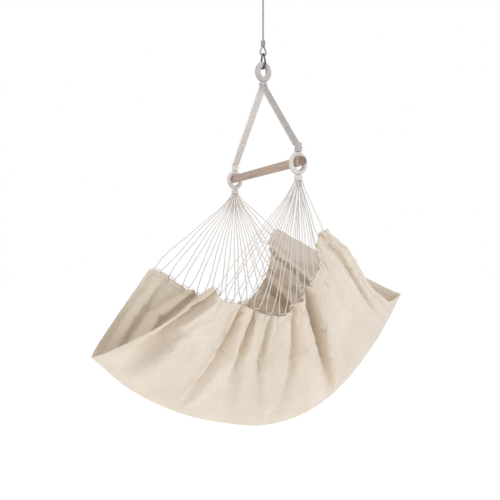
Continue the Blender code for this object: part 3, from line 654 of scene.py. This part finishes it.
RING_BAND = 0.024
line, places = smooth_route(oval_route(*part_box("top_ring"), RING_BAND, 32), 0.00055, closed=True)
round_outline = [(2 * math.pi * k / 20, RING_BAND / 2) for k in range(20)]
turns = round(places[-1] / 0.0030)
ring = sweep("served_ring", line, places, round_outline, closed=True,
             swell=served(places[-1] / turns, 0.0009, RING_BAND / 2))
ring.data.materials.append(serving_finish)
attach(ring, "harness")
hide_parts("top_ring")


def binding(name, low, high, pitch, finish, waist=0.0):
    """Turns of thin cord wound round a bundle, in an oval block; waist narrows its middle."""
    centre, half = (low + high) / 2, (high - low) / 2
    height = high.z - low.z
    steps = max(24, round(height / pitch * 8))
    line = np.array([(centre.x, centre.y, high.z - height * i / steps) for i in range(steps + 1)])
    places = np.linspace(0.0, height, steps + 1)
    angles = [2 * math.pi * k / 40 for k in range(40)]
    outline = [(a, 1.0 / math.sqrt((math.cos(a) / half.y) ** 2 + (math.sin(a) / half.x) ** 2))
               for a in angles]
    wound = served(pitch, 0.0008, min(half.x, half.y))

    def swell(place, angle):
        rim = min(place, height - place) / (0.30 * height)
        rounding = math.sqrt(max(0.0, 1.0 - (1.0 - min(rim, 1.0)) ** 2)) * 0.22 + 0.78
        squeeze = 1.0 - waist * math.sin(math.pi * place / height)
        return wound(place, angle) * rounding * squeeze

    piece = sweep(name, line, places, outline, swell=swell)
    piece.data.materials.append(finish)
    return piece


piece = binding("ring_binding", *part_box("top_seizing"), 0.0026, serving_finish)
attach(piece, "harness")
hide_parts("top_seizing")


# ------------------------------------------------------------------ the eight ropes
# Four soft cotton ropes a side, four long-laid strands in each, from the ring's binding to
# the knot above each end of the bar.
ROPE_DIAMETER = 0.008
ROPE_COUNT = 4
ROPE_PITCH = 0.0083
ROPE_TOP_OFFSET = 0.0085
ROPE_STRAIGHT = 0.004
ROPE_LEAN_START = 0.012
ROPE_LEAN_SHIFT = 0.003
KNOT_DIAMETER = 0.034
knot_low, knot_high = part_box("left_knot")
knot_z = (knot_low.z + knot_high.z) / 2
binding_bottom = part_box("top_seizing")[0].z
rope_outline_4 = rope_outline(4, 1.09 * ROPE_DIAMETER / 2, 5)


def rope_route(side, number):
    y = (number - (ROPE_COUNT - 1) / 2) * ROPE_PITCH
    top = Vector((side * ROPE_TOP_OFFSET, y, binding_bottom - GAP))
    straight = top - Vector((0.0, 0.0, ROPE_STRAIGHT))
    turn_in = top + Vector((side * ROPE_LEAN_SHIFT, 0.0, -ROPE_LEAN_START))
    knot = Vector((side * EYE_X, y, knot_z))
    way = (knot - turn_in).normalized()
    reach = max(abs(y) - ROPE_DIAMETER / 2, 0.0)
    end = knot - way * (math.sqrt((KNOT_DIAMETER / 2) ** 2 - reach ** 2) + GAP)
    return [top, straight, turn_in] + [turn_in.lerp(end, f) for f in (0.04, 0.35, 0.7, 1.0)]


for side, side_name in SIDES.items():
    for number in range(ROPE_COUNT):
        points = rope_route(side, number)
        line, places = smooth_route(points, 0.0016)
        piece = sweep(f"{side_name}_laid_rope_{number + 1}", line, places, rope_outline_4, twist=7.0)
        piece.data.materials.append(rope_finishes[side])
        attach(piece, "harness")
        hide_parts(f"{side_name}_rope_{number + 1}")


# ------------------------------------------------------------------ knots, eyes and necks
# The ropes are whipped together over the bar, open into an eye of parallel cords round it, and are
# bound again under it, where the fan of cords starts.
eye_finish = cotton_material("eye_cords", (0.58, 0.52, 0.47), (0.74, 0.68, 0.63), 2200.0, 0.5, 0.3)
EYE_BAND = 0.020
THREAD_ENDS = 7                 # loose ends of thread at each whipping
END_REACH = (0.010, 0.013)      # how far out they start and how far they run on, along X and Y
THREAD_ARCH = 0.004
THREAD_RADIUS = 0.0007
thread_outline = [(2 * math.pi * k / 5, THREAD_RADIUS) for k in range(5)]
for side, side_name in SIDES.items():
    low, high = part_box(f"{side_name}_knot")
    trim = Vector((0.003, 0.001, 0.0))
    knot = binding(f"{side_name}_whipping", low + trim, high - trim, 0.0030, rope_finishes[side], waist=0.12)
    ends = []
    for number in range(THREAD_ENDS):
        chance = random.Random(31 * number + side)
        angle = chance.uniform(0.0, 2 * math.pi)
        root = Vector(((low.x + high.x) / 2 + END_REACH[0] * math.cos(angle),
                       (low.y + high.y) / 2 + END_REACH[1] * math.sin(angle),
                       low.z + chance.uniform(0.004, 0.012)))
        tip = root + Vector((END_REACH[0] * math.cos(angle), END_REACH[1] * math.sin(angle),
                             chance.uniform(-0.012, 0.008)))
        bend = root.lerp(tip, 0.5) + Vector((0.0, 0.0, THREAD_ARCH))
        line, places = smooth_route([root, bend, tip], 0.002)
        ends.append(sweep("thread_end", line, places, thread_outline))
        ends[-1].data.materials.append(rope_finishes[side])
    for piece in [knot] + ends:
        piece.select_set(True)
    bpy.context.view_layer.objects.active = knot
    bpy.ops.object.join()
    knot.select_set(False)
    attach(knot, "harness")
    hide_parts(f"{side_name}_knot")

    route = oval_route(*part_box(f"{side_name}_eye"), EYE_BAND, 28)
    line, places = smooth_route(route, 0.0022, closed=True)
    eye = sweep(f"{side_name}_cord_eye", line, places, rope_outline(11, EYE_BAND / 2, 5),
                twist=1.0 / places[-1], closed=True)
    eye.data.materials.append(eye_finish)
    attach(eye, "seat")
    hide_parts(f"{side_name}_eye")

    neck = binding(f"{side_name}_neck_binding", *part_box(f"{side_name}_neck"), 0.0030, eye_finish, waist=0.16)
    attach(neck, "seat")
    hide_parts(f"{side_name}_neck")


# ------------------------------------------------------------------ spreader bar
# A round bar of pale beech, 35 mm thick, with eased ends and a matt varnish that has greyed a little.
bar_length = bar_high.x - bar_low.x
bar_radius = (bar_high.z - bar_low.z) / 2
bpy.ops.mesh.primitive_cylinder_add(vertices=72, radius=bar_radius, depth=bar_length,
                                    location=bar_middle, rotation=(0.0, math.pi / 2, 0.0))
bar = bpy.context.object
bar.name = "beech_bar"
bar.data.transform(bar.matrix_world)
bar.matrix_world = Matrix.Identity(4)
bpy.ops.object.mode_set(mode="EDIT")
bpy.ops.mesh.select_all(action="DESELECT")
shape = bmesh.from_edit_mesh(bar.data)
for face in shape.faces:
    face.select = abs(face.normal.x) > 0.9
shape.select_flush_mode()
bmesh.update_edit_mesh(bar.data)
bpy.ops.mesh.inset(thickness=0.0002)
bpy.ops.mesh.select_more()
bpy.ops.object.mode_set(mode="OBJECT")
ease = bar.modifiers.new("eased_ends", "BEVEL")
ease.width = 0.0025
ease.segments = 4
ease.limit_method = "ANGLE"
ease.angle_limit = math.radians(50.0)
bpy.ops.object.modifier_apply(modifier="eased_ends")
bpy.ops.object.shade_smooth_by_angle(angle=math.radians(40.0))
bar.select_set(False)

wood_finish, tree, shader = plain_material("beech", (0.50, 0.37, 0.28), 0.5)
chart = tree.nodes.new("ShaderNodeTexCoord")
grain_place = node(tree, "ShaderNodeMapping", Vector=chart.outputs["Object"], Scale=(3.0, 60.0, 60.0))
grain = node(tree, "ShaderNodeTexNoise", Vector=grain_place.outputs[0], Scale=2.2, Detail=6.0,
             Roughness=0.6, Distortion=0.4)
pore_place = node(tree, "ShaderNodeMapping", Vector=chart.outputs["Object"], Scale=(14.0, 420.0, 420.0))
pores = node(tree, "ShaderNodeTexNoise", Vector=pore_place.outputs[0], Scale=2.0, Detail=2.0)
along = node(tree, "ShaderNodeSeparateXYZ", i0=chart.outputs["Object"])
end = node(tree, "ShaderNodeMath", operation="ABSOLUTE", i0=along.outputs["X"])
end_mask = node(tree, "ShaderNodeMapRange", Value=end.outputs[0])
end_mask.inputs["From Min"].default_value = bar_length / 2 - 0.0016
end_mask.inputs["From Max"].default_value = bar_length / 2 - 0.0002
side_colour = shades(tree, grain.outputs["Fac"], (0.25, (0.35, 0.24, 0.17)), (0.50, (0.45, 0.33, 0.25)),
                     (0.75, (0.55, 0.43, 0.34)))
rings_place = node(tree, "ShaderNodeMapping", Vector=chart.outputs["Object"],
                   Location=(0.0, 0.012, 0.020 - bar_middle.z), Scale=(0.0, 1.0, 1.0))
rings = node(tree, "ShaderNodeTexWave", Vector=rings_place.outputs[0], wave_type="RINGS",
             rings_direction="SPHERICAL", Scale=130.0, Distortion=2.0, Detail=2.0)
end_colour = shades(tree, rings.outputs["Fac"], (0.2, (0.17, 0.105, 0.068)), (0.8, (0.27, 0.18, 0.125)))
colour = node(tree, "ShaderNodeMix", data_type="RGBA", Factor=end_mask.outputs["Result"])
tree.links.new(side_colour, colour.inputs[6])
tree.links.new(end_colour, colour.inputs[7])
finish_with(tree, shader, colour.outputs[2], height=pores.outputs["Fac"], bump=0.25, distance=0.0004)
bar.data.materials.append(wood_finish)
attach(bar, "bar")
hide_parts("spreader_bar")


# ------------------------------------------------------------------ canvas
# One sheet of undyed woven cotton, hem to hem 1.74 m and string edge to string edge 1.20 m, gathered
# on its two string edges so that it falls in folds towards the seat.
def weave_group():
    """Plain weave on a UV map in metres: warp and weft threads, thick spots and faint shade bands."""
    tree = bpy.data.node_groups.new("plain_weave", "ShaderNodeTree")
    tree.interface.new_socket("Thread", in_out="INPUT", socket_type="NodeSocketFloat").default_value = 0.0014
    for name in ("Tone", "Height"):
        tree.interface.new_socket(name, in_out="OUTPUT", socket_type="NodeSocketFloat")
    inside, outside = tree.nodes.new("NodeGroupInput"), tree.nodes.new("NodeGroupOutput")
    chart = tree.nodes.new("ShaderNodeTexCoord")
    fine = node(tree, "ShaderNodeMath", operation="DIVIDE", i0=math.pi, i1=inside.outputs["Thread"])
    parts = node(tree, "ShaderNodeSeparateXYZ", i0=chart.outputs["UV"])
    waves = []
    for axis in ("X", "Y"):
        turned = node(tree, "ShaderNodeMath", operation="MULTIPLY", i0=parts.outputs[axis],
                      i1=fine.outputs[0])
        waves.append(node(tree, "ShaderNodeMath", operation="SINE", i0=turned.outputs[0]))
    crossed = node(tree, "ShaderNodeMath", operation="MULTIPLY", i0=waves[0].outputs[0],
                   i1=waves[1].outputs[0])
    streaks = []
    for scale in ((6.0, 240.0, 1.0), (240.0, 6.0, 1.0)):
        place = node(tree, "ShaderNodeMapping", Vector=chart.outputs["UV"], Scale=scale)
        streaks.append(node(tree, "ShaderNodeTexNoise", Vector=place.outputs[0], Scale=1.0, Detail=3.0))
    slubs = node(tree, "ShaderNodeMath", operation="ADD", i0=streaks[0].outputs["Fac"],
                 i1=streaks[1].outputs["Fac"])
    cloud = node(tree, "ShaderNodeTexNoise", Vector=chart.outputs["Object"], Scale=5.0, Detail=4.0)
    tone = node(tree, "ShaderNodeMath", operation="MULTIPLY_ADD", i0=slubs.outputs[0], i1=0.30,
                i2=cloud.outputs["Fac"])
    rough = node(tree, "ShaderNodeMath", operation="MULTIPLY_ADD", i0=slubs.outputs[0], i1=0.9,
                 i2=crossed.outputs[0])
    tree.links.new(tone.outputs[0], outside.inputs["Tone"])
    tree.links.new(rough.outputs[0], outside.inputs["Height"])
    return tree


WEAVE = weave_group()


def canvas_material(name, dark, light, thread, bump):
    made, tree, shader = plain_material(name, light, 0.95)
    shader.inputs["Sheen Weight"].default_value = 0.15
    weave = tree.nodes.new("ShaderNodeGroup")
    weave.node_tree = WEAVE
    weave.inputs["Thread"].default_value = thread
    finish_with(tree, shader, shades(tree, weave.outputs["Tone"], (0.55, dark), (1.05, light)),
                height=weave.outputs["Height"], bump=bump, distance=0.0003)
    return made


canvas_finish = canvas_material("canvas_cloth", (0.69, 0.585, 0.455), (0.78, 0.675, 0.54), 0.0014, 0.35)
hem_finish = canvas_material("hem_cloth", (0.68, 0.575, 0.445), (0.77, 0.665, 0.53), 0.0014, 0.35)
thread_finish = cotton_material("hem_thread", (0.34, 0.29, 0.24), (0.58, 0.52, 0.46), 3000.0, 1.0, 0.3)

# Each fold runs from the string edge down to the seat: its points are (t, s, depth, width before it,
# width after it), with widths in shares of the sheet's length.  A negative depth makes a ridge.
RIGHT_FOLDS = [
    [(1.00, 0.022, 0.030, 0.014, 0.020), (0.86, 0.022, 0.044, 0.016, 0.024),
     (0.60, 0.038, 0.046, 0.020, 0.026), (0.30, 0.048, 0.014, 0.022, 0.026)],
    [(1.00, 0.080, 0.010, 0.016, 0.016), (0.70, 0.067, 0.016, 0.014, 0.018),
     (0.30, 0.067, 0.004, 0.018, 0.020)],
    [(1.00, 0.207, 0.028, 0.010, 0.022), (0.70, 0.226, 0.032, 0.010, 0.026),
     (0.46, 0.220, 0.020, 0.008, 0.018), (0.22, 0.217, 0.005, 0.006, 0.008)],
    [(1.00, 0.290, 0.030, 0.014, 0.016), (0.70, 0.298, 0.028, 0.014, 0.020),
     (0.30, 0.330, 0.006, 0.018, 0.022)],
    [(1.00, 0.396, 0.020, 0.016, 0.012), (0.70, 0.386, 0.020, 0.018, 0.012),
     (0.30, 0.420, 0.005, 0.018, 0.014)],
    [(1.00, 0.541, 0.024, 0.016, 0.020), (0.70, 0.525, 0.026, 0.020, 0.028),
     (0.30, 0.460, 0.007, 0.018, 0.026)],
    [(1.00, 0.660, 0.055, 0.034, 0.009), (0.70, 0.664, 0.060, 0.034, 0.008),
     (0.45, 0.656, 0.036, 0.026, 0.007), (0.20, 0.650, 0.008, 0.016, 0.006)],
    [(1.00, 0.745, 0.010, 0.016, 0.020), (0.70, 0.750, 0.006, 0.018, 0.024),
     (0.40, 0.750, 0.002, 0.020, 0.024)],
    [(1.00, 0.850, 0.008, 0.018, 0.018), (0.70, 0.850, 0.005, 0.020, 0.020),
     (0.40, 0.850, 0.002, 0.020, 0.024)],
    [(1.00, 0.955, 0.018, 0.014, 0.012), (0.70, 0.952, 0.022, 0.014, 0.012),
     (0.30, 0.940, 0.008, 0.016, 0.014)],
]
LEFT_FOLDS = [
    [(1.00, 0.245, 0.024, 0.018, 0.014), (0.70, 0.125, 0.018, 0.020, 0.016),
     (0.35, 0.090, 0.005, 0.020, 0.018)],
    [(1.00, 0.085, 0.008, 0.018, 0.014), (0.60, 0.050, 0.014, 0.018, 0.016),
     (0.30, 0.045, 0.005, 0.018, 0.016)],
    [(1.00, 0.375, 0.026, 0.018, 0.014), (0.60, 0.390, 0.016, 0.020, 0.016),
     (0.30, 0.400, 0.004, 0.020, 0.018)],
    [(1.00, 0.541, 0.028, 0.018, 0.018), (0.60, 0.530, 0.018, 0.020, 0.016),
     (0.30, 0.520, 0.005, 0.020, 0.018)],
    [(1.00, 0.708, 0.032, 0.014, 0.020), (0.60, 0.760, 0.032, 0.014, 0.026),
     (0.30, 0.720, 0.008, 0.018, 0.020)],
    [(1.00, 0.875, 0.020, 0.014, 0.014), (0.60, 0.880, 0.014, 0.016, 0.014),
     (0.30, 0.880, 0.004, 0.018, 0.016)],
]
# The right half's back hem has slipped down and forward, so that the left half stands up behind it.
LIP = Vector((0.0, -0.062, -0.048))


def fold_at(fold, s, t):
    """How far one fold moves the sheet, along its outward side."""
    places = [row[0] for row in reversed(fold)]
    middle, depth, before, after = (float(np.interp(t, places, [row[k] for row in reversed(fold)]))
                                    for k in (1, 2, 3, 4))
    fade = min(max((t - 0.12) / (places[0] - 0.12), 0.0), 1.0)
    x = (s - middle) / (before if s < middle else after)
    return -depth * fade * fade * (3 - 2 * fade) * (1 - x * x) * math.exp(-x * x / 2)


def tack(s, t):
    """0 at a cord's foot, where the rim is held, and 1 away from it."""
    hold = 0.0
    for number in range(CORD_COUNT):
        for leg in (-1, 1):
            foot = (number + 0.5 + leg * CORD_LEG_SHARE / 2) / CORD_COUNT
            hold = max(hold, math.exp(-((s - foot) / 0.007) ** 2))
    return 1.0 - hold * math.exp(-((1.0 - t) / 0.035) ** 2)


def outward(s, t):
    """The sheet's outward side at (s, t)."""
    side = -1 if t < 0 else 1
    near_s, near_t = min(max(s, 0.01), 0.99), side * min(max(abs(t), 0.02), 0.98)
    along = sheet_point(near_s + 0.01, near_t) - sheet_point(near_s - 0.01, near_t)
    across = sheet_point(near_s, near_t + 0.02 * side) - sheet_point(near_s, near_t - 0.02 * side)
    return along.cross(across).normalized() * side


def ease(x):
    """0 below 0, 1 above 1, and smooth between."""
    x = min(max(x, 0.0), 1.0)
    return x * x * (3 - 2 * x)


def folded_point(s, t):
    side = -1 if t < 0 else 1
    reach = abs(t)
    folds = RIGHT_FOLDS if side > 0 else LEFT_FOLDS
    depth = sum(fold_at(fold, s, reach) for fold in folds)
    gathers = max(0.0, (reach - 0.72) / 0.28) ** 1.5
    depth += 0.0030 * gathers * math.cos(2 * math.pi * CORD_COUNT * 2 * s + 1.3 * math.sin(9.0 * s))
    ripple = Vector((s * 7.0, t * 1.7, 4.0 + side))
    depth += 0.0050 * noise.noise(ripple) * (0.25 + 0.75 * reach)
    place = sheet_point(s, t) + outward(s, t) * depth * tack(s, reach)
    if side > 0:
        place += LIP * ease((s - 0.84) / 0.16) * ease(reach / 0.22) * ease((0.86 - reach) / 0.45)
    return place


ALONG, ACROSS = 300, 100
SHEET_WIDTH = 1.20
SHEET_LENGTH = 1.74
folded = [folded_point(i / ALONG, 2 * j / ACROSS - 1) for i in range(ALONG + 1) for j in range(ACROSS + 1)]
wide = ACROSS + 1
quads = [(i * wide + j, i * wide + j + 1, (i + 1) * wide + j + 1, (i + 1) * wide + j)
         for i in range(ALONG) for j in range(ACROSS)]

# The cloth hangs from its feet for one second under its own weight, a little longer than its frame,
# so that it sags between the feet and creases beside them.
HANG_FRAMES = 22
HANG_LIMIT = 0.009
mesh = bpy.data.meshes.new("hanging")
mesh.from_pydata(folded, [], quads)
hanging = bpy.data.objects.new("hanging", mesh)
bpy.context.scene.collection.objects.link(hanging)
held = hanging.vertex_groups.new(name="held")
for index in range(len(folded)):
    i, j = divmod(index, wide)
    reach = abs(2 * j / ACROSS - 1)
    grip = 1.0 - tack(i / ALONG, reach)
    held.add([index], 1.0 if grip > 0.5 else 0.10 + 0.35 * max(grip, 1.0 - reach), "REPLACE")
hang = hanging.modifiers.new("hang", "CLOTH")
hang.settings.quality = 7
hang.settings.mass = 0.004
hang.settings.tension_stiffness = 20.0
hang.settings.compression_stiffness = 12.0
hang.settings.shear_stiffness = 6.0
hang.settings.bending_stiffness = 0.25
hang.settings.vertex_group_mass = "held"
hang.settings.pin_stiffness = 1.0
hang.settings.shrink_min = -0.022
hang.point_cache.frame_start = 1
hang.point_cache.frame_end = HANG_FRAMES
for frame_number in range(1, HANG_FRAMES + 1):
    bpy.context.scene.frame_set(frame_number)
bpy.context.view_layer.objects.active = hanging
bpy.ops.object.modifier_apply(modifier="hang")
for index, corner_point in enumerate(hanging.data.vertices):
    moved = corner_point.co - folded[index]
    if moved.length > 0.0:
        folded[index] = folded[index] + moved * (HANG_LIMIT * math.tanh(moved.length / HANG_LIMIT)
                                                 / moved.length)
bpy.data.objects.remove(hanging, do_unlink=True)
bpy.context.scene.frame_set(1)
grid = [folded[i * wide:(i + 1) * wide] for i in range(ALONG + 1)]


def cloth_strip(name, rows, columns, thickness, finish):
    """Part of the sheet's grid as a piece of cloth with its own thickness."""
    places = [grid[i][j] for i in rows for j in columns]
    span = len(columns)
    faces = [(r * span + c, r * span + c + 1, (r + 1) * span + c + 1, (r + 1) * span + c)
             for r in range(len(rows) - 1) for c in range(span - 1)]
    mesh = bpy.data.meshes.new(name)
    mesh.from_pydata(places, [], faces)
    chart = mesh.uv_layers.new(name="cloth")
    for polygon in mesh.polygons:
        for loop in polygon.loop_indices:
            r, c = divmod(mesh.loops[loop].vertex_index, span)
            chart.data[loop].uv = (rows[r] / ALONG * SHEET_LENGTH, columns[c] / ACROSS * SHEET_WIDTH)
    piece = bpy.data.objects.new(name, mesh)
    bpy.context.scene.collection.objects.link(piece)
    bpy.context.view_layer.objects.active = piece
    piece.select_set(True)
    shell = piece.modifiers.new("thickness", "SOLIDIFY")
    shell.thickness = thickness
    shell.offset = 0.0
    bpy.ops.object.modifier_apply(modifier="thickness")
    bpy.ops.object.shade_smooth_by_angle(angle=math.radians(60.0))
    piece.select_set(False)
    piece.data.materials.append(finish)
    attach(piece, "seat")
    return piece


CLOTH_THICKNESS = 0.0014
all_rows, all_columns = list(range(ALONG + 1)), list(range(ACROSS + 1))
canvas = cloth_strip("canvas_sheet", all_rows, all_columns, CLOTH_THICKNESS, canvas_finish)
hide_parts("canvas")
HEM_ROWS, STRING_ROWS = 5, 2
HEM_THICKNESS, RIM_THICKNESS = 0.0040, 0.0046
front_hem = cloth_strip("front_hem_band", all_rows[:HEM_ROWS + 1], all_columns, HEM_THICKNESS, hem_finish)
back_hem = cloth_strip("back_hem_band", all_rows[-HEM_ROWS - 1:], all_columns, HEM_THICKNESS, hem_finish)
left_hem = cloth_strip("left_rim_band", all_rows, all_columns[:STRING_ROWS + 1], RIM_THICKNESS, hem_finish)
right_hem = cloth_strip("right_rim_band", all_rows, all_columns[-STRING_ROWS - 1:], RIM_THICKNESS,
                        hem_finish)
for piece, node_name in ((front_hem, "front_hem"), (back_hem, "back_hem"),
                         (left_hem, "left_string_hem"), (right_hem, "right_string_hem")):
    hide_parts(node_name)


# ------------------------------------------------------------------ eyelet loops
# A short loop of thread at each of the 48 feet, sewn through the rim and round the cord.
LOOP_THREAD = 0.0012            # the thread's radius
LOOP_SET_IN = 0.0012            # how far a loop's middle lies in towards the rim
LOOP_REACH = 0.0042             # how far it runs past the rim and past the cord
LOOP_HALF_WIDTH = 0.0031
LOOP_POINTS = 12
LOOP_STEP = 0.0022              # between two rings of its mesh
loop_outline = [(2 * math.pi * k / 6, LOOP_THREAD) for k in range(6)]
for side, side_name in SIDES.items():
    pieces = []
    for number in range(CORD_COUNT):
        for leg in (-1, 1):
            rim, out = rim_foot(side, number, leg)
            other, _ = rim_foot(side, number, leg * 0.5)
            run = (other - rim).normalized()
            flat = out.cross(run).normalized()
            middle, half = rim + out * (CORD_STANDOFF / 2 - LOOP_SET_IN), CORD_STANDOFF / 2 + LOOP_REACH
            route = [middle + out * half * math.cos(a) + flat * LOOP_HALF_WIDTH * math.sin(a)
                     for a in (2 * math.pi * k / LOOP_POINTS for k in range(LOOP_POINTS))]
            line, places = smooth_route(route, LOOP_STEP, closed=True)
            pieces.append(sweep(f"{side_name}_eyelet", line, places, loop_outline, closed=True))
    bpy.ops.object.select_all(action="DESELECT")
    for piece in pieces:
        piece.select_set(True)
    bpy.context.view_layer.objects.active = pieces[0]
    bpy.ops.object.join()
    loops = bpy.context.object
    loops.name = f"{side_name}_eyelet_loops"
    loops.data.materials.append(thread_finish)
    loops.select_set(False)
    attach(loops, "seat")
